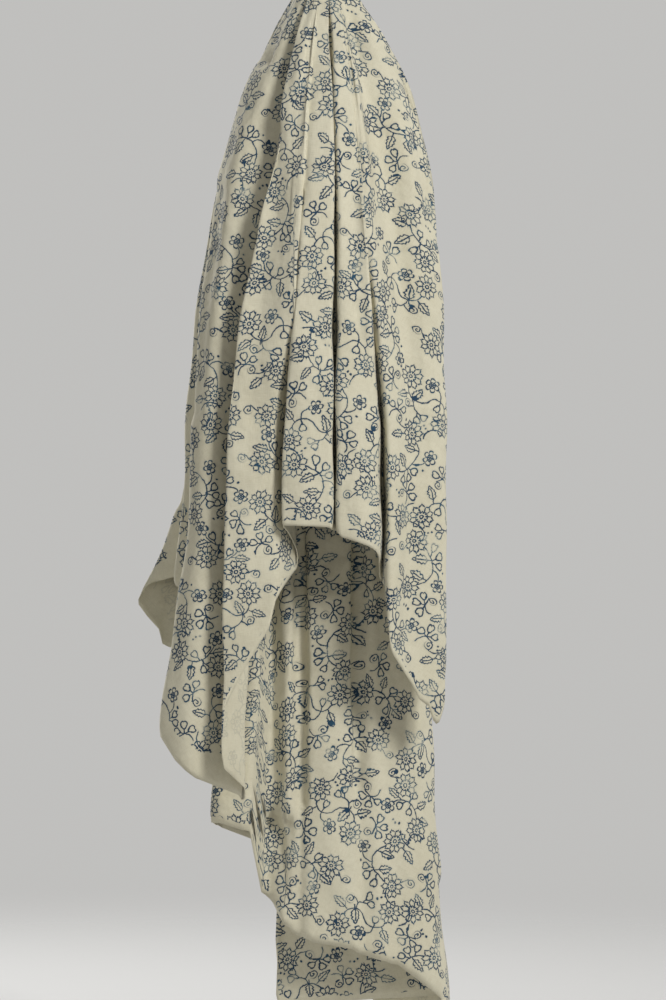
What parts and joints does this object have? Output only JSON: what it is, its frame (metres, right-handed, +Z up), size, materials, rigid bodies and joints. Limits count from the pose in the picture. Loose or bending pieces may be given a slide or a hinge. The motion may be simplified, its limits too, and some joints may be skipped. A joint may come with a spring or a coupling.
{
  "type": "block-printed cotton fabric",
  "caption": "Cut length of block-printed cotton, hung by one inner point in deep uneven folds, with a short front end and a long back end.",
  "frame": {"origin": "the point that the sheet hangs from, at its top", "axes": "+Z up; -Y is the front, where the short end hangs; +X to the viewer's right"},
  "size_m": [0.3239, 0.2381, 1.145],
  "materials": {
    "cotton": "matt plain-weave cotton with indigo line block print"
  },
  "bodies": {
    "root": {"cloth": "cotton"}
  },
  "joints": []
}
